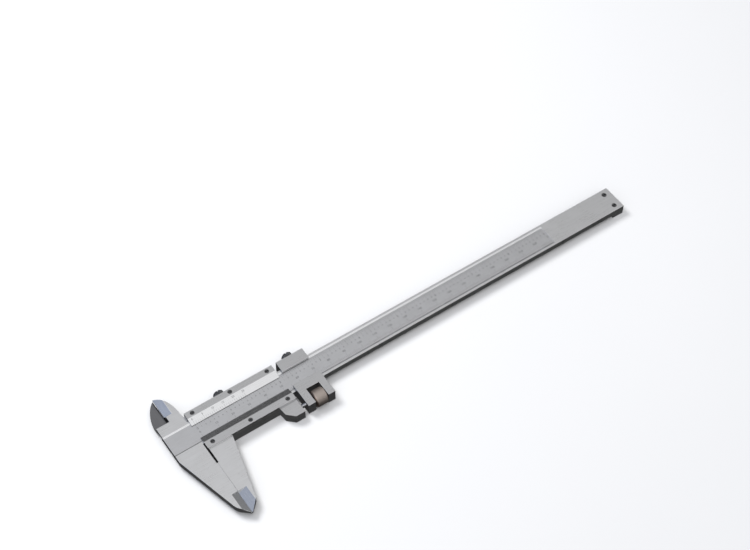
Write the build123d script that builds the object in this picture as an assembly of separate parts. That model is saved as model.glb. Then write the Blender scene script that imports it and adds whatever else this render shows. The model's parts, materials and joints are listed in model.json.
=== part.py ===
from build123d import *
import os

# Vernier caliper with fine adjustment, 200 mm / 8 in, jaws closed, lying on its back.
# Frame, in mm: X along the beam from the jaws' measuring plane, Y across the beam from its
# centreline towards the inside blades, Z up from the flat that it rests on.

os.makedirs("parts", exist_ok=True)

# Beam and fixed jaw
beam_half = 8.0
beam_back, beam_front = 2.4, 6.4
beam_left, beam_right = -16.2, 281.5
mid_plane = (beam_back + beam_front) / 2
recess_top_half, recess_floor_half = 6.6, 5.9
recess_depth = 0.25
recess_right = 232.0
groove_half, groove_depth = 1.6, 1.6
relief_width, relief_bottom = 0.6, -21.8
shoulder_y = -10.8

# Outside jaws
jaw_tip_y = -55.4
facet_top_y = -41.7
fixed_facet_width, sliding_facet_width = 3.75, 5.0
facet_drop = 1.5
closed_gap = 0.04

# Inside blades
blade_line_x = -8.9
blade_top_y = 30.7
blade_root_y = 13.3
blade_foot_x = -0.6
fixed_bevel_width, fixed_bevel_drop, bevel_bottom_y = 4.2, 1.52, 17.0
sliding_blade_left, sliding_bevel_drop = -16.4, 1.0
blade_gap = 0.05
fixed_notch_width, fixed_notch_top = 0.55, 17.9
sliding_notch_left, sliding_notch_right, sliding_notch_top = -9.2, -8.0, 18.6
notch_web = 0.5      # left under the blind notch in the sliding blade

# Slider
slide_fit = 0.05
slider_length = 54.0
slider_half = 12.4
wall_top = beam_back - slide_fit
rail_top = beam_front + slide_fit
gib_slot_y = 9.0
gib_thickness, gib_inset, gib_end_gap = 0.8, 0.1, 1.0
overlap = 1.0        # how far joined blocks run into each other
foot_left, foot_bottom = 43.65, -21.2

# Vernier plates
plate_thickness = 1.6
plate_flat = 4.05
reading_edge_y = 4.3
reading_edge_thickness = 0.12
plate_screw_pitch = 23.0
plate_screw_first = 4.0
plate_screw_y = 10.4

# Fine adjustment
carriage_left, carriage_right = 56.8, 73.5
window_left, window_right, window_top = 61.3, 69.3, -10.7
leg_bottom = -20.4
carriage_lip_upper, carriage_lip_lower = 5.5, -4.8
rod_y, rod_z = -16.95, 4.85
rod_radius, rod_left, rod_right = 1.25, 46.2, 71.0
cross_pin_radius, cross_pin_x, cross_pin_bottom, cross_pin_top = 0.75, 50.0, 0.1, 5.5
nut_radius, nut_length, nut_chamfer = 4.85, 7.4, 0.6
running_clearance = 0.05

# Depth rod and end stop
rod_half, rod_bottom, rod_top = 1.45, 2.5, 3.85
rod_foot_left, rod_foot_right = 6.0, 24.0
rod_tip_gap, rod_tip_taper = 0.2, 3.0
rivet_places = (10.0, 20.0)
rivet_radius, rivet_head_radius, rivet_head_depth = 0.75, 1.3, 0.6
rivet_sink, rivet_tip_gap = 0.03, 0.1
stop_left = 274.3
stop_screw_x, stop_screw_y = 277.1, 4.6

# Screws
plate_head = (1.25, 0.85)
plate_shank = (0.8, 2.9)
stop_head = (1.45, 0.9)
stop_shank = (0.9, 4.7)
head_sink = 0.05
slot_width, slot_depth = 0.4, 0.35
lock_places = {"slider": 22.4, "carriage": 65.3}
lock_z = 3.4
lock_head_radius, lock_head_height, lock_head_gap = 3.0, 2.6, 1.1
lock_slot_half, lock_slot_depth = 0.35, 0.8
lock_shank_radius = 1.45
lock_hole_radius = 1.5
lock_tip_gap = 0.3
grub_radius, grub_places = 1.0, (10.0, 44.0)
grub_sink, grub_slot_half, grub_slot_depth = 0.2, 0.15, 0.7
seat_clearance = 0.02
plate_screw_top = rail_top + plate_thickness - head_sink
past = 1.0           # how far a cut runs past a face


def block(x, y, z):
    """A box between the low and high limits given for each axis."""
    size = (x[1] - x[0], y[1] - y[0], z[1] - z[0])
    return Pos(x[0], y[0], z[0]) * Box(*size, align=(Align.MIN, Align.MIN, Align.MIN))


def along_z(points, z):
    """A prism with an XY outline between two heights."""
    return extrude(Plane.XY.offset(z[0]) * make_face(Polyline(*points, close=True)), z[1] - z[0])


def along_y(points, y):
    """A prism with an XZ outline between two Y limits."""
    return extrude(Plane.XZ.offset(-y[1]) * make_face(Polyline(*points, close=True)), y[1] - y[0])


def along_x(points, x):
    """A prism with a YZ outline between two X limits."""
    return extrude(Plane.YZ.offset(x[0]) * make_face(Polyline(*points, close=True)), x[1] - x[0])


def bar(radius, start, end):
    """A round bar between two points on a line parallel to an axis."""
    start, end = Vector(*start), Vector(*end)
    plane = Plane(origin=start, z_dir=end - start)
    return extrude(plane * Circle(radius), (end - start).length)


def slotted_screw(x, y, top, head, shank):
    """A cheese-head screw pointing down, with a driver slot; head and shank are (radius, length)."""
    neck = top - head[1]
    screw = bar(head[0], (x, y, neck), (x, y, top))
    screw += bar(shank[0], (x, y, neck - shank[1]), (x, y, neck))
    slot = block((x - 2 * head[0], x + 2 * head[0]), (y - slot_width / 2, y + slot_width / 2),
                 (top - slot_depth, top + past))
    return screw - slot


def screw_seat(x, y, top, head, shank):
    """The counterbored hole that a slotted screw sits in."""
    neck = top - head[1]
    seat = bar(head[0] + seat_clearance, (x, y, neck), (x, y, top + past))
    return seat + bar(shank[0] + seat_clearance, (x, y, neck - shank[1]), (x, y, neck))


def write(name, *solids):
    """Writes one named piece, or a group of identical pieces, as a STEP file."""
    shape = solids[0] if len(solids) == 1 else Compound(children=list(solids))
    export_step(shape, f"parts/{name}.step")


def tip_facets(side, width):
    """The wedges that thin an outside jaw's tip towards the measuring plane, front and back."""
    y = (jaw_tip_y - past, facet_top_y)
    edge, beyond = side * width, -side * past
    drop = facet_drop * (width + past) / width
    front = [(edge, beam_front), (beyond, beam_front - drop),
             (beyond, beam_front + past), (edge, beam_front + past)]
    back = [(edge, beam_back), (beyond, beam_back + drop),
            (beyond, beam_back - past), (edge, beam_back - past)]
    return along_y(front, y) + along_y(back, y)


# ---- The beam, with the fixed jaw and the fixed inside blade in one piece ----

def make_beam():
    thickness = (beam_back, beam_front)
    beam = block((beam_left, beam_right), (-beam_half, beam_half), thickness)
    root = overlap - beam_half
    jaw = [(beam_left, root), (beam_left, shoulder_y), (-6.1, -48.1), (-5.3, -49.8),
           (-0.4, jaw_tip_y), (0, jaw_tip_y), (0, relief_bottom), (-relief_width, relief_bottom),
           (-relief_width, root)]
    beam += along_z(jaw, thickness)

    # The blade and the shoulder under it are the front half only: the sliding blade passes behind
    front_half = (mid_plane + blade_gap, beam_front)
    curve = Spline((blade_foot_x, beam_half - overlap), (-1.05, 14.2), (-1.9, 20.8),
                   (-4.35, 26.5), (-6.5, 29.1), (blade_line_x, blade_top_y))
    rest = Polyline((blade_line_x, blade_top_y), (blade_line_x, blade_root_y), (beam_left, blade_root_y),
                    (beam_left, beam_half - overlap), (blade_foot_x, beam_half - overlap))
    blade = extrude(Plane.XY.offset(front_half[0]) * make_face(curve + rest),
                    front_half[1] - front_half[0])
    bevel_top_x = blade_line_x + fixed_bevel_width
    low = beam_front - fixed_bevel_drop
    bevel = [(bevel_top_x, beam_front), (blade_line_x, low), (blade_line_x - past, low),
             (blade_line_x - past, beam_front + past), (bevel_top_x, beam_front + past)]
    blade -= along_y(bevel, (bevel_bottom_y, blade_top_y + past))
    blade -= block((blade_line_x - past, blade_line_x + fixed_notch_width),
                   (blade_root_y, fixed_notch_top), thickness)
    beam += blade

    beam -= tip_facets(-1, fixed_facet_width)
    recess_floor = beam_front - recess_depth
    recess = [(-recess_top_half, beam_front), (-recess_floor_half, recess_floor),
              (recess_floor_half, recess_floor), (recess_top_half, beam_front),
              (recess_top_half, beam_front + past), (-recess_top_half, beam_front + past)]
    beam -= along_x(recess, (beam_left - past, recess_right))
    groove = (beam_back - past, beam_back + groove_depth)
    beam -= block((rod_foot_left - 2, beam_right + past), (-groove_half, groove_half), groove)
    for y in (-stop_screw_y, stop_screw_y):
        beam -= screw_seat(stop_screw_x, y, beam_front - head_sink, stop_head, stop_shank)
    return beam


# ---- The slider: frame, sliding jaw, sliding inside blade and foot in one piece ----

def make_slider():
    length = (closed_gap, slider_length)
    frame = block(length, (-slider_half, slider_half), (0, wall_top))
    frame += block(length, (-slider_half, -beam_half - slide_fit), (0, rail_top))
    frame += block(length, (gib_slot_y, slider_half), (0, rail_top))

    root = overlap - slider_half
    jaw = [(relief_width, root), (14.9, root), (14.9, -11.9), (5.7, -50.0),
           (0.45, jaw_tip_y), (closed_gap, jaw_tip_y), (closed_gap, relief_bottom),
           (relief_width, relief_bottom)]
    frame += along_z(jaw, (beam_back, beam_front)) - tip_facets(1, sliding_facet_width)

    foot = [(foot_left, root), (44.3, -17.2), (48.4, foot_bottom),
            (slider_length, foot_bottom), (slider_length, root)]
    frame += along_z(foot, (0, rail_top))

    rear_half = (beam_back, mid_plane - blade_gap)
    curve = Spline((sliding_blade_left, 14.4), (-15.4, 20.8), (-12.6, 26.6),
                   (blade_line_x, blade_top_y))
    rest = Polyline((blade_line_x, blade_top_y), (blade_line_x, 19.0), (-2.2, 14.0),
                    (overlap, slider_half), (overlap, gib_slot_y), (-15.6, gib_slot_y),
                    (sliding_blade_left, 14.4))
    blade = extrude(Plane.XY.offset(rear_half[0]) * make_face(curve + rest),
                    rear_half[1] - rear_half[0])
    high = rear_half[1]
    bevel = [(sliding_blade_left, high), (blade_line_x, high - sliding_bevel_drop),
             (blade_line_x, high + past), (sliding_blade_left, high + past)]
    blade -= along_y(bevel, (blade_root_y, blade_top_y + past))
    blade -= block((sliding_notch_left, sliding_notch_right), (blade_root_y, sliding_notch_top),
                   (beam_back + notch_web, high))
    frame += blade

    for x in plate_screw_places():
        for y in (-plate_screw_y, plate_screw_y):
            frame -= screw_seat(x, y, plate_screw_top, plate_head, plate_shank)
    for x in grub_places:
        frame -= rail_hole(grub_radius + seat_clearance, x)
    frame -= rail_hole(lock_hole_radius, lock_places["slider"])
    frame -= bar(rod_radius + seat_clearance, (rod_left, rod_y, rod_z),
                 (slider_length + past, rod_y, rod_z))
    frame -= cross_pin(seat_clearance)
    for x in rivet_places:
        frame -= rivet(x, seat_clearance)
    return frame


def plate_screw_places():
    return [plate_screw_first + i * plate_screw_pitch for i in range(3)]


def rail_hole(radius, x):
    """A hole through the upper rail, for a screw that bears on the gib strip."""
    return bar(radius, (x, gib_slot_y - past, lock_z), (x, slider_half + past, lock_z))


def rivet(x, clearance=0.0):
    """A rivet through the slider's back wall into the depth rod's foot, or with a clearance its hole."""
    shank = bar(rivet_radius + clearance, (x, 0, rivet_head_depth), (x, 0, rod_top - rivet_tip_gap))
    head = bar(rivet_head_radius + clearance, (x, 0, rivet_sink - 2 * clearance), (x, 0, rivet_head_depth))
    return shank + head


# ---- The vernier plates on the slider's two rails ----

def make_vernier_plate(side):
    """side is 1 for the plate by the inside blades and -1 for the one by the outside jaws."""
    top = rail_top + plate_thickness
    section = [(side * slider_half, rail_top), (side * slider_half, top),
               (side * (slider_half - plate_flat), top),
               (side * reading_edge_y, rail_top + reading_edge_thickness),
               (side * reading_edge_y, rail_top)]
    plate = along_x(section, (closed_gap, slider_length))
    for x in plate_screw_places():
        plate -= screw_seat(x, side * plate_screw_y, plate_screw_top, plate_head, plate_shank)
    return plate


def make_plate_screws(side):
    return [slotted_screw(x, side * plate_screw_y, plate_screw_top, plate_head, plate_shank)
            for x in plate_screw_places()]


# ---- Gib strips, grub screws and lock screws along the upper rail ----

def make_gib(left, right):
    y = (beam_half + slide_fit, beam_half + slide_fit + gib_thickness)
    return block((left, right), y, (beam_back + gib_inset, beam_front - gib_inset))


def make_grub_screw(x):
    tip, end = beam_half + slide_fit + gib_thickness, slider_half - grub_sink
    screw = bar(grub_radius, (x, tip, lock_z), (x, end, lock_z))
    slot = block((x - grub_slot_half, x + grub_slot_half), (end - grub_slot_depth, end), (0, rail_top))
    return screw - slot


def make_lock_screw(name):
    """A round head on a shank that presses the gib strip when it is turned in."""
    x = lock_places[name]
    tip = beam_half + slide_fit + gib_thickness + lock_tip_gap
    seat = slider_half + lock_head_gap
    screw = bar(lock_shank_radius, (x, tip, lock_z), (x, seat, lock_z))
    screw += bar(lock_head_radius, (x, seat, lock_z), (x, seat + lock_head_height, lock_z))
    end = seat + lock_head_height
    slot = block((x - lock_slot_half, x + lock_slot_half), (end - lock_slot_depth, end + past),
                 (0, 2 * lock_z))
    return screw - slot


# ---- Fine adjustment: carriage, threaded rod and thumb nut ----

def make_carriage():
    length = (carriage_left, carriage_right)
    top = rail_top + plate_thickness
    carriage = block(length, (window_top, slider_half), (0, wall_top))
    carriage += block(length, (gib_slot_y, slider_half), (0, top))
    carriage += block(length, (carriage_lip_upper, slider_half), (rail_top, top))
    carriage += block(length, (window_top, -beam_half - slide_fit), (0, top))
    carriage += block(length, (window_top, carriage_lip_lower), (rail_top, top))
    for leg in ((carriage_left, window_left), (window_right, carriage_right)):
        carriage += block(leg, (leg_bottom, window_top + overlap), (0, top))
    carriage -= bar(rod_radius + running_clearance, (carriage_left - past, rod_y, rod_z),
                    (carriage_right, rod_y, rod_z))
    return carriage - rail_hole(lock_hole_radius, lock_places["carriage"])


def make_rod():
    rod = bar(rod_radius, (rod_left, rod_y, rod_z), (rod_right, rod_y, rod_z))
    return rod - cross_pin(seat_clearance)


def cross_pin(clearance=0.0):
    """The pin, or with a clearance its hole, from the foot's back through the adjusting rod."""
    return bar(cross_pin_radius + clearance, (cross_pin_x, rod_y, cross_pin_bottom - 2 * clearance),
               (cross_pin_x, rod_y, cross_pin_top))


def make_thumb_nut():
    middle = (window_left + window_right) / 2
    left, right = middle - nut_length / 2, middle + nut_length / 2
    profile = [(left, rod_radius + running_clearance), (left, nut_radius - nut_chamfer),
               (left + nut_chamfer, nut_radius), (right - nut_chamfer, nut_radius),
               (right, nut_radius - nut_chamfer), (right, rod_radius + running_clearance)]
    section = make_face(Polyline(*profile, close=True))
    return Pos(0, rod_y, rod_z) * revolve(section, Axis.X)


# ---- Depth rod and the end stop on the beam's back ----

def make_depth_rod():
    tip = beam_right - rod_tip_gap
    outline = [(rod_foot_left, -rod_half), (tip - rod_tip_taper, -rod_half), (tip, -rod_half / 2),
               (tip, rod_half), (rod_foot_left, rod_half)]
    rod = along_z(outline, (rod_bottom, rod_top))
    rod += block((rod_foot_left, rod_foot_right), (-rod_half, rod_half), (wall_top, rod_top))
    for x in rivet_places:
        rod -= rivet(x, seat_clearance)
    return rod


def make_end_stop():
    stop = block((stop_left, beam_right), (-beam_half, beam_half), (0, beam_back))
    for y in (-stop_screw_y, stop_screw_y):
        stop -= screw_seat(stop_screw_x, y, beam_front - head_sink, stop_head, stop_shank)
    return stop


def make_end_stop_screws():
    return [slotted_screw(stop_screw_x, y, beam_front - head_sink, stop_head, stop_shank)
            for y in (-stop_screw_y, stop_screw_y)]


write("beam", make_beam())
write("slider_frame", make_slider())
write("upper_vernier_plate", make_vernier_plate(1))
write("lower_vernier_plate", make_vernier_plate(-1))
write("upper_plate_screws", *make_plate_screws(1))
write("lower_plate_screws", *make_plate_screws(-1))
write("slider_gib_strip", make_gib(gib_end_gap, slider_length - gib_end_gap))
write("slider_gib_screws", *[make_grub_screw(x) for x in grub_places])
write("slider_lock_screw", make_lock_screw("slider"))
write("fine_adjust_carriage", make_carriage())
write("carriage_gib_strip", make_gib(carriage_left + gib_end_gap, carriage_right - gib_end_gap))
write("carriage_lock_screw", make_lock_screw("carriage"))
write("adjusting_rod", make_rod())
write("rod_cross_pin", cross_pin())
write("thumb_nut", make_thumb_nut())
write("depth_rod", make_depth_rod())
write("depth_rod_rivets", *[rivet(x) for x in rivet_places])
write("end_stop_plate", make_end_stop())
write("end_stop_screws", *make_end_stop_screws())
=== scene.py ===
import json
import math

import bmesh
import bpy
from mathutils import Matrix, Vector


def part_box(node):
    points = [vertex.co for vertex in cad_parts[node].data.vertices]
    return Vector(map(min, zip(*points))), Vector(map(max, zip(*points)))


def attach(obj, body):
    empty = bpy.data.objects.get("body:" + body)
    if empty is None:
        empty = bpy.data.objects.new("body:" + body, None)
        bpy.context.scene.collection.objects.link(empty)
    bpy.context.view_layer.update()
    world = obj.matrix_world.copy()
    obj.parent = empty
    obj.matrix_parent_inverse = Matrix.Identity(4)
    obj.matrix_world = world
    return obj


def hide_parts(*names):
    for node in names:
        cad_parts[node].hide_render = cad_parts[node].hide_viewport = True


# Vernier caliper, in metres, in the CAD frame: X along the beam from the jaws' measuring plane,
# Y across it towards the inside blades, Z up out of the scale face.

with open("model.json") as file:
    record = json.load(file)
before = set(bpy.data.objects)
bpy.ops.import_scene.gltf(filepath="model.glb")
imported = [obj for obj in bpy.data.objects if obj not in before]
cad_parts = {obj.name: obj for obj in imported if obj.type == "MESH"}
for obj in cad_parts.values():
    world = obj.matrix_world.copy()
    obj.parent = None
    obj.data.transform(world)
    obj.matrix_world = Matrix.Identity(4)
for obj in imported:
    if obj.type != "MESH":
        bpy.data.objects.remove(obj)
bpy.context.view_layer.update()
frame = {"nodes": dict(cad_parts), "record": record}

MM = 0.001
INCH = 25.4 * MM
TURN = 2 * math.pi

# Camera, at the photograph's viewing angle; make_camera squares its axes exactly
CAMERA_PLACE = (-0.1682, -0.4041, 0.7231)
CAMERA_RIGHT = Vector((0.82507, -0.56501, 0.00497))
CAMERA_UP = Vector((0.45169, 0.66482, 0.59497))
CAMERA_LENS, SENSOR_WIDTH = 76.66, 36.0              # in mm
CAMERA_NEAR = 0.01

# Sky: its stops are (cosine of the angle from its brightest point, brightness)
SKY_CENTRE = (-0.20, -0.20, 0.96)
SKY_STOPS = [(0.0, 0.06), (0.09, 0.09), (0.24, 0.29), (0.45, 0.42),
             (0.57, 0.70), (0.70, 0.82), (0.93, 1.42)]
SKY_GREEN, SKY_BLUE = 1.005, 1.015                   # against red
COOL_CENTRE = (-0.60, 0.50, 0.62)
COOL_TINT = (0.60, 0.66, 0.80)
COOL_EDGE, COOL_FULL = 0.74, 0.96                    # cosines where the tint starts and is whole

# Key light and floor
KEY_PLACE, KEY_AIM = (-0.15, 0.55, 0.85), (0.10, 0.0, 0.0)
KEY_SIZE, KEY_POWER = 0.45, 8.0
FLOOR_HALF = 6.0
FLOOR_DROP = 0.01 * MM

# Scales
ZERO_X = 2.0 * MM                                    # the zero lines, right of the measuring plane
METRIC_LENGTH, INCH_LENGTH = 230, 9                  # in mm and in inches
LINE_WIDTH, LINE_HEIGHT = 0.09 * MM, 0.012 * MM
DIGIT_THICKNESS = 0.008 * MM
READING_EDGE, PLATE_FLAT = 0.12 * MM, 4.05 * MM      # the vernier plates' thin edge and flat

# Places that the finishes and the painted shade depend on
BEAM_HALF = 8.0 * MM
FACE_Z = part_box("beam")[1].z
RECESS_DEPTH, RECESS_HALF = 0.25 * MM, 5.9 * MM
RECESS_Z = FACE_Z - RECESS_DEPTH
SLOT_HALF, SLOT_Y = 0.9 * MM, (-21.9 * MM, -8.5 * MM)
NOTCH_X, NOTCH_Y, NOTCH_FLOOR_Z = (-9.3 * MM, -7.9 * MM), (13.2 * MM, 18.7 * MM), 3.0 * MM
SLIDER_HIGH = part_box("slider_frame")[1]
CARRIAGE_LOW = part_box("fine_adjust_carriage")[0]
NUT_LOW, NUT_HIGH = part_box("thumb_nut")
SAME = 0.02 * MM                                     # a face within this of a place is on it

# A face's kind, by the size of a component of its normal
STEEP, LEVEL, SIDEWAYS, UPRIGHT, FACING = 0.2, 0.9995, 0.1, 0.5, 0.9


# ---------------------------------------------------------------- camera, floor and light

def make_camera():
    data = bpy.data.cameras.new("camera")
    data.lens = CAMERA_LENS
    data.sensor_width = SENSOR_WIDTH
    data.clip_start = CAMERA_NEAR
    camera = bpy.data.objects.new("camera", data)
    bpy.context.scene.collection.objects.link(camera)
    right = CAMERA_RIGHT.normalized()
    back = right.cross(CAMERA_UP).normalized()
    axes = Matrix((right, back.cross(right), back)).transposed().to_4x4()
    camera.matrix_world = Matrix.Translation(CAMERA_PLACE) @ axes
    bpy.context.scene.camera = camera
    bpy.context.scene.view_settings.view_transform = "Standard"


def make_floor():
    """A pale floor that the steel doesn't reflect, so that its sides stay dark."""
    mesh = bpy.data.meshes.new("floor")
    signs = [(-1, -1), (1, -1), (1, 1), (-1, 1)]
    corners = [(x * FLOOR_HALF, y * FLOOR_HALF, -FLOOR_DROP) for x, y in signs]
    mesh.from_pydata(corners, [], [(0, 1, 2, 3)])
    floor = new_object("floor", mesh)
    floor.data.materials.append(floor_material())
    floor.visible_glossy = False


def make_world():
    """A studio sky: a broad soft light overhead, a little to the front and left, dimming to the back,
    with a cool patch low on the left."""
    world = bpy.data.worlds.new("studio")
    bpy.context.scene.world = world
    world.use_nodes = True
    tree = world.node_tree
    tree.nodes.clear()
    place = tree.nodes.new("ShaderNodeTexCoord").outputs["Generated"]
    ramp = tree.nodes.new("ShaderNodeValToRGB")
    elements = ramp.color_ramp.elements
    while len(elements) < len(SKY_STOPS):
        elements.new(0.5)
    for element, (position, brightness) in zip(elements, SKY_STOPS):
        element.position = position
        element.color = (brightness, brightness * SKY_GREEN, brightness * SKY_BLUE, 1)
    tree.links.new(towards(tree, place, SKY_CENTRE), ramp.inputs["Fac"])
    patch = remap(tree, towards(tree, place, COOL_CENTRE), (COOL_EDGE, COOL_FULL))
    tint = mix_colours(tree, patch, (1.0, 1.0, 1.0), COOL_TINT)
    sky = tree.nodes.new("ShaderNodeBackground")
    tree.links.new(multiply_colours(tree, ramp.outputs["Color"], tint), sky.inputs["Color"])
    out = tree.nodes.new("ShaderNodeOutputWorld")
    tree.links.new(sky.outputs[0], out.inputs[0])


def towards(tree, direction, centre):
    """The cosine of the angle between a direction and a fixed one."""
    dot = tree.nodes.new("ShaderNodeVectorMath")
    dot.operation = "DOT_PRODUCT"
    dot.inputs[1].default_value = Vector(centre).normalized()
    tree.links.new(direction, dot.inputs[0])
    return dot.outputs["Value"]


def make_key_light():
    """A soft light from the back left, which leaves no reflection on the steel."""
    data = bpy.data.lights.new("key", "AREA")
    data.shape = "DISK"
    data.size = KEY_SIZE
    data.energy = KEY_POWER
    light = bpy.data.objects.new("key", data)
    bpy.context.scene.collection.objects.link(light)
    light.location = KEY_PLACE
    light.rotation_euler = (Vector(KEY_AIM) - Vector(KEY_PLACE)).to_track_quat("-Z", "Y").to_euler()
    light.visible_glossy = False


# ---------------------------------------------------------------- shader nodes

def shader(name):
    """A new material, its node tree and its Principled shader."""
    material = bpy.data.materials.new(name)
    material.use_nodes = True
    tree = material.node_tree
    tree.nodes.clear()
    out = tree.nodes.new("ShaderNodeOutputMaterial")
    principled = tree.nodes.new("ShaderNodeBsdfPrincipled")
    tree.links.new(principled.outputs[0], out.inputs[0])
    return material, tree, principled


def noise(tree, cycles, detail, roughness):
    """Noise in the piece's own frame, with its cycles per metre along each axis or along all three."""
    place = tree.nodes.new("ShaderNodeTexCoord")
    mapping = tree.nodes.new("ShaderNodeMapping")
    mapping.inputs["Scale"].default_value = cycles if isinstance(cycles, list) else [cycles] * 3
    tree.links.new(place.outputs["Object"], mapping.inputs["Vector"])
    texture = tree.nodes.new("ShaderNodeTexNoise")
    texture.inputs["Scale"].default_value = 1.0
    texture.inputs["Detail"].default_value = detail
    texture.inputs["Roughness"].default_value = roughness
    tree.links.new(mapping.outputs[0], texture.inputs["Vector"])
    return texture.outputs["Fac"]


def remap(tree, value, source, target=(0.0, 1.0)):
    """A value's place within the source span, carried over to the target span."""
    node = tree.nodes.new("ShaderNodeMapRange")
    for socket, number in zip(("From Min", "From Max", "To Min", "To Max"), (*source, *target)):
        node.inputs[socket].default_value = number
    tree.links.new(value, node.inputs["Value"])
    return node.outputs["Result"]


def mix_colours(tree, factor, a, b):
    node = tree.nodes.new("ShaderNodeMix")
    node.data_type = "RGBA"
    node.inputs["A"].default_value = (*a, 1)
    node.inputs["B"].default_value = (*b, 1)
    tree.links.new(factor, node.inputs["Factor"])
    return node.outputs["Result"]


def multiply_colours(tree, a, b):
    node = tree.nodes.new("ShaderNodeMix")
    node.data_type = "RGBA"
    node.blend_type = "MULTIPLY"
    node.inputs["Factor"].default_value = 1.0
    tree.links.new(a, node.inputs["A"])
    tree.links.new(b, node.inputs["B"])
    return node.outputs["Result"]


def combine(tree, operation, a, b):
    """A sum or product of a node's output and another output or a number."""
    node = tree.nodes.new("ShaderNodeMath")
    node.operation = operation
    tree.links.new(a, node.inputs[0])
    if isinstance(b, float):
        node.inputs[1].default_value = b
    else:
        tree.links.new(b, node.inputs[1])
    return node.outputs[0]


def add_bump(tree, principled, height, strength, distance):
    bump = tree.nodes.new("ShaderNodeBump")
    bump.inputs["Strength"].default_value = strength
    bump.inputs["Distance"].default_value = distance
    tree.links.new(height, bump.inputs["Height"])
    tree.links.new(bump.outputs[0], principled.inputs["Normal"])


# ---------------------------------------------------------------- materials

def steel(name, light, dark, rough, relief, grain="X", smudge=0.08, along=60.0, across=5200.0):
    """Ground or satin steel: fine lines along the grain's axis, over slow smudges in the finish.

    The tone varies from dark to light, and the roughness by smudge around rough. relief is how deep the
    lines look, and along and across are their cycles per metre with the grain and over it."""
    smear_cycles, speck_cycles = 130.0, 2600.0
    line_share, smear_share, speck_share = 0.65, 0.35, 0.35
    tone_span, finish_span = (0.32, 0.68), (0.3, 0.7)
    line_roughness = 0.05
    material, tree, principled = shader(name)
    principled.inputs["Metallic"].default_value = 1.0
    lines = noise(tree, [along if axis == grain else across for axis in "XYZ"], detail=5.0, roughness=0.65)
    smears = noise(tree, smear_cycles, detail=3.0, roughness=0.55)
    specks = noise(tree, speck_cycles, detail=2.0, roughness=0.5)
    tone = combine(tree, "ADD", combine(tree, "MULTIPLY", lines, line_share),
                   combine(tree, "MULTIPLY", smears, smear_share))
    colour = mix_colours(tree, remap(tree, tone, tone_span), dark, light)
    tree.links.new(colour, principled.inputs["Base Color"])
    smudged = remap(tree, smears, finish_span, (rough - smudge / 2, rough + smudge / 2))
    lined = remap(tree, lines, finish_span, (-line_roughness, line_roughness))
    tree.links.new(combine(tree, "ADD", smudged, lined), principled.inputs["Roughness"])
    height = combine(tree, "ADD", lines, combine(tree, "MULTIPLY", specks, speck_share))
    add_bump(tree, principled, height, relief, 0.02 * MM)
    return material


def dark_metal(name, colour, rough):
    """Blackened steel with rubbed patches."""
    patch_cycles, speck_cycles = 900.0, 9000.0
    most_rubbed, roughness_swing = 0.8, 0.1
    material, tree, principled = shader(name)
    principled.inputs["Metallic"].default_value = 0.85
    patches = noise(tree, patch_cycles, detail=4.0, roughness=0.6)
    specks = noise(tree, speck_cycles, detail=2.0, roughness=0.5)
    rubbed = [min(1.0, c * 2.6 + 0.03) for c in colour]
    tone = mix_colours(tree, remap(tree, patches, (0.45, 0.75), (0.0, most_rubbed)), colour, rubbed)
    tree.links.new(tone, principled.inputs["Base Color"])
    finish = remap(tree, patches, (0.3, 0.7), (rough - roughness_swing, rough + roughness_swing))
    tree.links.new(finish, principled.inputs["Roughness"])
    add_bump(tree, principled, specks, 0.25, 0.01 * MM)
    return material


def ink():
    """The black filling of the engraved lines, slightly greyed where it has worn."""
    material, tree, principled = shader("scale_ink")
    wear = remap(tree, noise(tree, 500.0, detail=4.0, roughness=0.6), (0.4, 0.7))
    tone = mix_colours(tree, wear, (0.07, 0.07, 0.073), (0.18, 0.18, 0.185))
    tree.links.new(tone, principled.inputs["Base Color"])
    principled.inputs["Roughness"].default_value = 0.55
    return material


def floor_material():
    material, tree, principled = shader("floor")
    cloud = noise(tree, 5.0, detail=3.0, roughness=0.5)
    tone = mix_colours(tree, cloud, (0.74, 0.74, 0.745), (0.77, 0.77, 0.775))
    tree.links.new(tone, principled.inputs["Base Color"])
    principled.inputs["Roughness"].default_value = 0.7
    return material


def grey(level, blue=0.005):
    """A neutral grey with a little more blue."""
    return level, level, level + blue


def cool(level):
    """A grey tinted blue, as painted reflection of a cool light on the facets."""
    return level, level + 0.01, level + 0.03


# Satin and ground faces
SATIN = steel("satin_chrome", grey(0.62, 0.01), grey(0.51, 0.01), 0.38, 0.10,
              smudge=0.06, along=160.0, across=3600.0)
GROUND = steel("ground_steel", grey(0.69), grey(0.57), 0.31, 0.20)
PLATE = steel("plate_steel", grey(0.565), grey(0.47), 0.30, 0.20)
READING_SLOPE = steel("reading_slope", grey(0.64), grey(0.53), 0.29, 0.20)
# The lower plate's reading slope, a darker copy as painted shade
SHADED_LOWER_SLOPE = steel("lower_reading_slope_painted_shade", grey(0.57), grey(0.47), 0.27, 0.20)
RECESS_SLOPE = steel("recess_slope", grey(0.66), grey(0.56), 0.42, 0.12)
# The bevels along the edges: polished, and brighter as a painted highlight
EDGE = steel("bright_edge_painted_highlight", grey(0.86), grey(0.74, 0.01), 0.26, 0.08)
# Milled walls in the gaps and the carriage's window: a milled finish, darkened further as painted shade
MILLED_AND_SHADED = steel("milled_steel_painted_shade", grey(0.40), grey(0.28), 0.42, 0.30, smudge=0.10, along=900.0, across=3000.0)

# Facets of the blades and of the jaws' tips: lighter and darker copies of one ground steel, as painted
# light and shade
FACET = steel("ground_facet", cool(0.63), cool(0.53), 0.20, 0.12, grain="Y")
SHADED_FACET = steel("facet_painted_shade", grey(0.26, 0.01), grey(0.19, 0.01), 0.32, 0.12, grain="Y")
FIXED_TIP = steel("fixed_tip_facet_painted_light", cool(0.74), cool(0.63), 0.20, 0.12, grain="Y")
SLIDING_TIP = steel("sliding_tip_facet_painted_shade", cool(0.48), cool(0.41), 0.22, 0.12, grain="Y")

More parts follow.
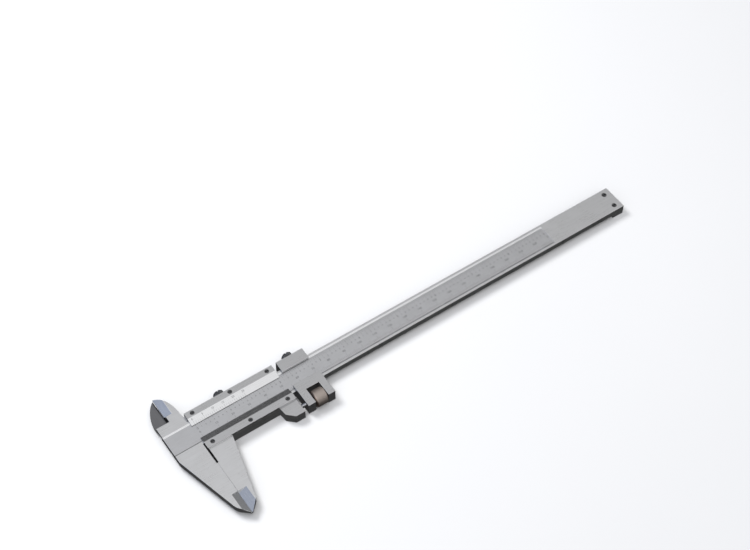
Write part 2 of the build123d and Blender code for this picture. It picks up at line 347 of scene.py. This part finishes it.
# Turned pieces, whose noise is as fine along the piece as around it
EVEN = {"grain": "Y", "along": 3000.0, "across": 3000.0}
TURNED = steel("turned_steel", grey(0.74, 0.01), grey(0.52, 0.02), 0.26, 0.15, **EVEN)
# The lock screws' polished knobs, in a dark base colour as painted reflection of dark surroundings; their
# knurled sides darker still, as painted shade and reflection
KNOB_DARK_REFLECTION = steel("polished_knob_painted_reflection", grey(0.34), grey(0.22), 0.13, 0.06, smudge=0.06, **EVEN)
KNURL_SHADE_AND_REFLECTION = steel("knurl_painted_shade_and_reflection", grey(0.20), grey(0.12), 0.17, 0.06, smudge=0.06, **EVEN)
BRONZE = steel("nut_bronze", (0.46, 0.40, 0.36), (0.35, 0.30, 0.27), 0.36, 0.12,
               smudge=0.10, along=900.0, across=2600.0)
BRONZE_EDGE = steel("nut_bronze_edge", (0.52, 0.40, 0.33), (0.30, 0.22, 0.18), 0.22, 0.08,
                    along=900.0, across=2600.0)

# Springs, screws, painted shade for the walls of the slots and the notch, and the scales' filling
SPRING = steel("spring_bronze", (0.78, 0.56, 0.34), (0.60, 0.40, 0.22), 0.30, 0.10)
BLACK = dark_metal("black_oxide", (0.018, 0.018, 0.019), 0.40)
WORN_BLACK = dark_metal("worn_black_oxide", (0.07, 0.07, 0.072), 0.34)
# Near black, as painted shade in the relief slot, the notch and the lock screws' driver slots
SLOT_SHADE = dark_metal("slot_painted_shade", (0.02, 0.02, 0.021), 0.60)
INK = ink()


# ---------------------------------------------------------------- pieces

def new_object(name, mesh):
    piece = bpy.data.objects.new(name, mesh)
    bpy.context.scene.collection.objects.link(piece)
    return piece


def finish_piece(piece, body, node=None):
    """Says what a piece rides on and, if it stands for a CAD node, which one, and hides that node's part.
    """
    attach(piece, body)
    if node:
        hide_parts(node)


def body_of(node):
    return next(b for b, nodes in frame["record"]["behaviour"]["bodies"].items() if node in nodes)


def finished(node, width, paint, edge_material=EDGE, rim=None):
    """The CAD node with its sharp edges broken by a small bevel, and a finish for each kind of face.

    paint(centre, normal) returns a face's material. rim is the width of the wider bevel around the
    top of a screw's head."""
    merge, flat, shortest = 0.002 * MM, math.radians(0.4), 0.5 * MM
    low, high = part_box(node)
    mesh = frame["nodes"][node].data.copy()
    mesh.name = node + "_finished"
    bm = bmesh.new()
    bm.from_mesh(mesh)
    bmesh.ops.remove_doubles(bm, verts=bm.verts, dist=merge)
    bmesh.ops.dissolve_limit(bm, angle_limit=flat, verts=bm.verts, edges=bm.edges)
    bm.normal_update()
    materials = [edge_material]
    for face in bm.faces:
        material = paint(face.calc_center_median(), face.normal)
        if material not in materials:
            materials.append(material)
        face.material_index = materials.index(material)
        face.smooth = True
    if rim:
        bevel(bm, [edge for edge in bm.edges if is_rim(edge, high.z)], rim)
    bevel(bm, [edge for edge in bm.edges if len(edge.link_faces) == 2
               and edge.calc_length() > shortest and is_feature(edge)], width)
    for vertex in bm.verts:
        vertex.co = [min(max(c, a), b) for c, a, b in zip(vertex.co, low, high)]
    for edge in bm.edges:
        edge.smooth = not is_feature(edge)
    mesh.materials.clear()
    for material in materials:
        mesh.materials.append(material)
    bm.to_mesh(mesh)
    bm.free()
    piece = new_object(node + "_finished", mesh)
    normals = piece.modifiers.new("normals", "WEIGHTED_NORMAL")
    normals.keep_sharp = True
    normals.weight = 100
    finish_piece(piece, body_of(node), node)


def is_feature(edge):
    """An edge of the shape itself, and not one between the facets of a curved face."""
    sharp, shallow = 28, 9                           # in degrees
    long, nearly_level = 3 * MM, 0.995
    if len(edge.link_faces) != 2:
        return True
    angle = math.degrees(edge.calc_face_angle(0.0))
    on_slope = any(STEEP < abs(face.normal.z) < nearly_level for face in edge.link_faces)
    return angle > sharp or (angle > shallow and on_slope and edge.calc_length() > long)


def is_rim(edge, height):
    """An edge at a height between a level face and a screw head's round side, whose faces are narrow."""
    narrow = 1.2 * MM * MM
    if len(edge.link_faces) != 2 or any(abs(v.co.z - height) > SAME for v in edge.verts):
        return False
    side = min(edge.link_faces, key=lambda face: abs(face.normal.z))
    return abs(side.normal.z) < STEEP / 2 and side.calc_area() < narrow


def bevel(bm, edges, width):
    """Rounds edges with the first material."""
    made = bmesh.ops.bevel(bm, geom=edges, offset=width, offset_type="OFFSET", segments=2,
                           profile=0.5, affect="EDGES", clamp_overlap=True)
    for face in made["faces"]:
        face.material_index = 0
        face.smooth = True


# ---------------------------------------------------------------- which finish goes where

def plain(material):
    """A paint that gives every face the same finish."""
    return lambda centre, normal: material


def is_facet(normal):
    return STEEP < abs(normal.z) < LEVEL and abs(normal.x) > SIDEWAYS


def in_relief(centre, normal):
    """The walls of the slot between the jaws, under the beam, and the notch under the blades, with the
    notch's floor: the faces painted near black as shade.
    """
    in_slot = abs(centre.x) < SLOT_HALF and SLOT_Y[0] < centre.y < SLOT_Y[1]
    in_notch = NOTCH_X[0] < centre.x < NOTCH_X[1] and NOTCH_Y[0] < centre.y < NOTCH_Y[1]
    if abs(normal.z) < UPRIGHT:
        return in_slot or in_notch
    return in_notch and centre.z < NOTCH_FLOOR_Z and normal.z > FACING


def beam_paint(centre, normal):
    """Ground faces, a satin scale recess with paler slopes along it, and facets at the tips."""
    # Painted shade on the relief walls and the notch's floor
    if in_relief(centre, normal):
        return SLOT_SHADE
    # The beam's lower tip facets get a lighter copy, as painted light
    if is_facet(normal):
        return FACET if centre.y > 0 else FIXED_TIP
    if STEEP < normal.z < LEVEL:
        return RECESS_SLOPE
    return SATIN if normal.z > LEVEL and abs(centre.z - RECESS_Z) < SAME else GROUND


def slider_paint(centre, normal):
    """Ground faces, with its highest ones like the plates, facets at the tips and a milled right end,
    darkened as painted shade of the gap before the carriage.
    """
    # Painted shade on the relief walls and the notch's floor
    if in_relief(centre, normal):
        return SLOT_SHADE
    # The slider's lower tip facets get a darker copy, and its blade facets a much darker one, both as
    # painted shade
    if is_facet(normal):
        return SLIDING_TIP if centre.y < 0 else SHADED_FACET
    if normal.z > LEVEL and centre.z > SLIDER_HIGH.z - SAME:
        return PLATE
    return MILLED_AND_SHADED if normal.x > FACING and centre.x > SLIDER_HIGH.x - SAME else GROUND


def carriage_paint(centre, normal):
    """The faces inside the window, and those towards the slider, are left as milled and darkened as
    painted shade.
    """
    gap = 0.5 * MM
    beside_nut = NUT_LOW.x - gap < centre.x < NUT_HIGH.x + gap
    in_window = beside_nut and CARRIAGE_LOW.y + SAME < centre.y < -BEAM_HALF - gap
    towards_slider = normal.x < -FACING and centre.x < CARRIAGE_LOW.x + SAME
    return MILLED_AND_SHADED if (in_window and abs(normal.z) < UPRIGHT) or towards_slider else PLATE


def plate_paint(centre, normal):
    """Ground flats, and a reading slope that is darker on the lower plate, whose slope faces the back:
    painted shade.
    """
    if STEEP < normal.z < LEVEL:
        return READING_SLOPE if normal.y < 0 else SHADED_LOWER_SLOPE
    return PLATE


# ---------------------------------------------------------------- scales

def add_bar(bm, corner, along, across, up):
    """A thin raised bar from a corner and three edge vectors."""
    ends = [corner, corner + along, corner + along + across, corner + across]
    low = [bm.verts.new(v) for v in ends]
    high = [bm.verts.new(v + up) for v in ends]
    bm.faces.new(list(reversed(low)))
    bm.faces.new(high)
    for i in range(4):
        j = (i + 1) % 4
        bm.faces.new((low[i], low[j], high[j], high[i]))


def digits(text, size):
    """A number as a flat mesh, centred on the origin in its own XY plane."""
    curve = bpy.data.curves.new("digits", "FONT")
    curve.body = text
    curve.size = size
    curve.align_x = "CENTER"
    curve.align_y = "CENTER"
    curve.extrude = DIGIT_THICKNESS
    curve.resolution_u = 2
    holder = new_object("digits", curve)
    mesh = bpy.data.meshes.new_from_object(holder.evaluated_get(bpy.context.evaluated_depsgraph_get()))
    bpy.data.objects.remove(holder)
    bpy.data.curves.remove(curve)
    return mesh


def ruled(last, step, lengths, half, whole):
    """Lines 0 to last as (x, length): of three lengths, the second is for multiples of half and the
    third for multiples of whole, which are multiples of half too."""
    return [(i * step, lengths[(i % half == 0) + (i % whole == 0)]) for i in range(last + 1)]


def scale_piece(name, body, lines, numbers, origin, upward):
    """The marks of an engraved scale, as thin bars and digits on a flat or sloping face.

    origin is a point on the reading edge, upward the unit vector up the face, away from it;
    lines are (x, length) and numbers are (x, height, size, text), all measured from origin."""
    along = Vector((1, 0, 0))
    out = along.cross(upward).normalized()
    if out.z < 0:
        out = -out
    bm = bmesh.new()
    for x, length in lines:
        corner = origin + along * (x - LINE_WIDTH / 2)
        add_bar(bm, corner, along * LINE_WIDTH, upward * length, out * LINE_HEIGHT)
    turn = Matrix((along, out.cross(along), out)).transposed().to_4x4()
    for x, height, size, text in numbers:
        mesh = digits(text, size)
        place = origin + along * x + upward * height + out * DIGIT_THICKNESS / 2
        mesh.transform(Matrix.Translation(place) @ turn)
        bm.from_mesh(mesh)
        bpy.data.meshes.remove(mesh)
    bmesh.ops.recalc_face_normals(bm, faces=bm.faces)
    mesh = bpy.data.meshes.new(name)
    bm.to_mesh(mesh)
    bm.free()
    mesh.materials.append(INK)
    finish_piece(new_object(name, mesh), body)


def make_metric_scale():
    """Millimetre lines up from the recess's lower edge, with a number every 10."""
    number_place, number_size, per_number = 4.9 * MM, 1.9 * MM, 10
    lines = ruled(METRIC_LENGTH, MM, (2.0 * MM, 2.8 * MM, 3.5 * MM), 5, per_number)
    numbers = [(i * MM, number_place, number_size, str(i))
               for i in range(0, METRIC_LENGTH + 1, per_number)]
    origin = Vector((ZERO_X, -RECESS_HALF, RECESS_Z))
    scale_piece("metric_scale", "beam", lines, numbers, origin, Vector((0, 1, 0)))


def make_inch_scale():
    """Lines of 1/40 in down from the recess's upper edge, with large whole inches and small tenths."""
    number_place, inch_size, tenth_size = 4.3 * MM, 2.0 * MM, 1.3 * MM
    per_inch, per_tenth = 40, 4
    lines = ruled(INCH_LENGTH * per_inch, INCH / per_inch, (1.5 * MM, 2.2 * MM, 2.9 * MM), 2, per_tenth)
    numbers = []
    for i in range(INCH_LENGTH * 10 + 1):
        inches, tenths = divmod(i, 10)
        text, size = (str(tenths), tenth_size) if tenths else (str(inches), inch_size)
        numbers.append((i * INCH / 10, number_place, size, text))
    origin = Vector((ZERO_X, RECESS_HALF, RECESS_Z))
    scale_piece("inch_scale", "beam", lines, numbers, origin, Vector((0, -1, 0)))


def make_vernier(name, node, side, divisions, span, number_unit):
    """Lines up a vernier plate's reading slope, with a number at every fifth.

    side is 1 for the upper plate and -1 for the lower; number_unit is how many divisions count as 1."""
    number_place, number_size, per_number = 3.05 * MM, 1.7 * MM, 5
    low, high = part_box(node)
    edge_y, back_y = (low.y, high.y) if side > 0 else (high.y, low.y)
    foot = Vector((ZERO_X, edge_y, low.z + READING_EDGE))
    crest = Vector((ZERO_X, back_y - side * PLATE_FLAT, high.z))
    step = span / divisions
    lines = ruled(divisions, step, (1.5 * MM, 2.0 * MM, 2.0 * MM), per_number, per_number)
    numbers = [(i * step, number_place, number_size, str(i // number_unit))
               for i in range(0, divisions + 1, per_number)]
    scale_piece(name, "slider", lines, numbers, foot, (crest - foot).normalized())


# ---------------------------------------------------------------- turned pieces

def turned_mesh(name, rings, segments, materials, hollow=False, first_angle=0.0):
    """A turned piece along X, as one closed surface.

    rings are (place along X, radius, material index of the faces up to the next ring); a radius is a
    number or a function of the angle. A hollow piece's last ring joins its first, and any other piece
    has a flat face at each end, of the first material."""
    bm = bmesh.new()
    angles = [first_angle + TURN * i / segments for i in range(segments)]
    loops = []
    for along, radius, _ in rings:
        radii = [radius(a) if callable(radius) else radius for a in angles]
        places = [(along, r * math.cos(a), r * math.sin(a)) for r, a in zip(radii, angles)]
        loops.append([bm.verts.new(place) for place in places])
    ends = loops[1:] + loops[:1] if hollow else loops[1:]
    for start, end, ring in zip(loops, ends, rings):
        for i in range(segments):
            j = (i + 1) % segments
            bm.faces.new((start[i], end[i], end[j], start[j])).material_index = ring[2]
    if not hollow:
        bm.faces.new(loops[0])
        bm.faces.new(loops[-1])
    bmesh.ops.recalc_face_normals(bm, faces=bm.faces)
    shade(bm)
    mesh = bpy.data.meshes.new(name)
    bm.to_mesh(mesh)
    bm.free()
    for material in materials:
        mesh.materials.append(material)
    return mesh


def shade(bm):
    """Smooth shading, except across sharp edges."""
    sharp = math.radians(38)
    for face in bm.faces:
        face.smooth = True
    for edge in bm.edges:
        edge.smooth = edge.calc_face_angle(0.0) < sharp


def threaded_bar(name, start, end, radius, depth, segments):
    """A bar with a real helical thread between two points."""
    pitch, rings_per_turn = 0.5 * MM, 8
    start, end = Vector(start), Vector(end)
    length = (end - start).length
    count = round(length / pitch * rings_per_turn)

    def thread(along):
        def at(angle):
            crest = 0.5 + 0.5 * math.cos(TURN * along / pitch - angle)
            return radius - depth * (1 - crest)
        return at

    rings = [(length * k / count, thread(length * k / count), 0) for k in range(count + 1)]
    mesh = turned_mesh(name, rings, segments, [TURNED])
    mesh.transform(Matrix.Translation(start) @ (end - start).to_track_quat("X", "Z").to_matrix().to_4x4())
    return new_object(name, mesh)


def make_adjusting_rod():
    low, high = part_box("adjusting_rod")
    y, z = (low.y + high.y) / 2, (low.z + high.z) / 2
    radius, depth = (high.z - low.z) / 2, 0.2 * MM
    rod = threaded_bar("adjusting_rod_threaded", (low.x, y, z), (high.x, y, z), radius, depth, 32)
    finish_piece(rod, "slider", "adjusting_rod")


def make_thumb_nut():
    """A diamond-knurled band between two chamfers, on sunk end faces around the bore."""
    low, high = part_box("thumb_nut")
    radius, half = (high.z - low.z) / 2, (high.x - low.x) / 2
    chamfer, bore = 0.6 * MM, 1.3 * MM
    boss, boss_foot, sunk, lip = bore + 0.9 * MM, bore + 1.1 * MM, 0.12 * MM, 0.1 * MM
    teeth, depth, rows, rows_per_tooth = 64, 0.13 * MM, 30, 6.5
    pointed = 0.55                                   # the rest of each diamond is rounded
    band = half - chamfer

    def knurl(row):
        """Two crossing sets of helical grooves leave small diamond points."""
        phase = TURN * row / rows_per_tooth

        def at(angle):
            left = 0.5 + 0.5 * math.cos(teeth * angle + phase)
            right = 0.5 + 0.5 * math.cos(teeth * angle - phase)
            crest = pointed * min(left, right) + (1 - pointed) * (left * right) ** 0.5
            return radius - depth * (1 - crest)
        return at

    end = [(half, bore), (half, boss), (half - sunk, boss_foot), (half - sunk, radius - chamfer - lip),
           (half - 0.2 * MM, radius - chamfer)]
    rings = [(-x, r, 1) for x, r in end] + [(-band, radius - depth, 0)]
    rings += [(-band + 2 * band * k / rows, knurl(k), 0) for k in range(1, rows)]
    rings += [(band, radius - depth, 1)] + [(x, r, 1) for x, r in reversed(end)]
    mesh = turned_mesh("thumb_nut_knurled", rings, teeth * 4, [BRONZE, BRONZE_EDGE], hollow=True)
    mesh.transform(Matrix.Translation((low + high) / 2))
    finish_piece(new_object("thumb_nut_knurled", mesh), "nut", "thumb_nut")


def make_lock_screw(node):
    """A straight-knurled head with a driver slot, on a threaded shank, pointing down in Y."""
    low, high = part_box(node)
    x, z = (low.x + high.x) / 2, (low.z + high.z) / 2
    radius, height = (high.x - low.x) / 2, 2.6 * MM
    shank_radius, thread_depth = 1.45 * MM, 0.22 * MM
    slot_half, slot_depth = 0.35 * MM, 0.8 * MM
    teeth, depth, steps, narrowing = 32, 0.2 * MM, 8, 1.4
    edge, groove_end = 0.35 * MM, 0.1 * MM
    materials = [KNOB_DARK_REFLECTION, KNURL_SHADE_AND_REFLECTION, SLOT_SHADE]
    bottom, grooved = high.y - height, radius - depth

    def grip(angle):
        return radius - depth * (0.5 - 0.5 * math.cos(teeth * angle)) ** narrowing

    profile = [(0.0, grooved - edge), (edge, grooved), (edge + groove_end, grip),
               (height - edge - groove_end, grip), (height - edge, grooved), (height, grooved - edge)]
    rings = [(y, r, materials.index(KNURL_SHADE_AND_REFLECTION)) for y, r in profile]
    segments = teeth * steps
    mesh = turned_mesh(node + "_head", rings, segments, materials, first_angle=TURN / segments / 2)
    mesh.transform(Matrix(((0, 0, 1, x), (1, 0, 0, bottom), (0, 1, 0, z), (0, 0, 0, 1))))
    head = new_object(node + "_head", mesh)
    cut_box(head, (x, high.y, z), (2 * slot_half, 2 * slot_depth, 4 * radius))
    bm = bmesh.new()
    bm.from_mesh(mesh)
    # The driver slot's walls and floor get painted shade
    for face in bm.faces:
        centre = face.calc_center_median()
        in_slot = abs(centre.x - x) < slot_half + SAME and centre.y > bottom + edge
        if in_slot and max(abs(face.normal.x), abs(face.normal.y)) > FACING:
            face.material_index = materials.index(SLOT_SHADE)
    shade(bm)
    bm.to_mesh(mesh)
    bm.free()
    finish_piece(head, body_of(node), node)
    shank = threaded_bar(node + "_shank", (x, low.y, z), (x, bottom, z), shank_radius, thread_depth, 24)
    finish_piece(shank, body_of(node))


def cut_box(piece, centre, size):
    """Cuts a box out of a closed mesh."""
    bm = bmesh.new()
    bmesh.ops.create_cube(bm, size=1.0, matrix=Matrix.Translation(centre) @ Matrix.Diagonal((*size, 1)))
    mesh = bpy.data.meshes.new("cutter")
    bm.to_mesh(mesh)
    bm.free()
    cutter = new_object("cutter", mesh)
    modifier = piece.modifiers.new("slot", "BOOLEAN")
    modifier.object = cutter
    modifier.operation = "DIFFERENCE"
    modifier.solver = "EXACT"
    bpy.context.view_layer.update()
    cut = bpy.data.meshes.new_from_object(piece.evaluated_get(bpy.context.evaluated_depsgraph_get()))
    piece.modifiers.clear()
    bm = bmesh.new()
    bm.from_mesh(cut)
    bm.to_mesh(piece.data)
    bm.free()
    bpy.data.objects.remove(cutter)
    bpy.data.meshes.remove(cut)


# ---------------------------------------------------------------- putting it together

make_camera()
make_floor()
make_world()
make_key_light()

finished("beam", 0.10 * MM, beam_paint)
finished("slider_frame", 0.10 * MM, slider_paint)
for plate in ("upper_vernier_plate", "lower_vernier_plate"):
    finished(plate, 0.04 * MM, plate_paint)
finished("fine_adjust_carriage", 0.12 * MM, carriage_paint)
finished("end_stop_plate", 0.10 * MM, plain(SATIN))
finished("depth_rod", 0.08 * MM, plain(GROUND))
for screws in ("upper_plate_screws", "lower_plate_screws", "end_stop_screws"):
    # The screws are black oxide; their rims and bevels take a deeper black than their heads, as painted
    # shade of the gap around each head
    finished(screws, 0.04 * MM, plain(WORN_BLACK), BLACK, rim=0.22 * MM)
for gib in ("slider_gib_strip", "carriage_gib_strip"):
    finished(gib, 0.05 * MM, plain(SPRING), SPRING)
finished("slider_gib_screws", 0.05 * MM, plain(BLACK), BLACK)
for pins in ("rod_cross_pin", "depth_rod_rivets"):
    finished(pins, 0.05 * MM, plain(TURNED), TURNED)

make_metric_scale()
make_inch_scale()
make_vernier("inch_vernier", "upper_vernier_plate", 1, 25, 49 * INCH / 40, 1)
make_vernier("metric_vernier", "lower_vernier_plate", -1, 50, 49 * MM, 5)
make_thumb_nut()
make_lock_screw("slider_lock_screw")
make_lock_screw("carriage_lock_screw")
make_adjusting_rod()

bpy.context.view_layer.update()
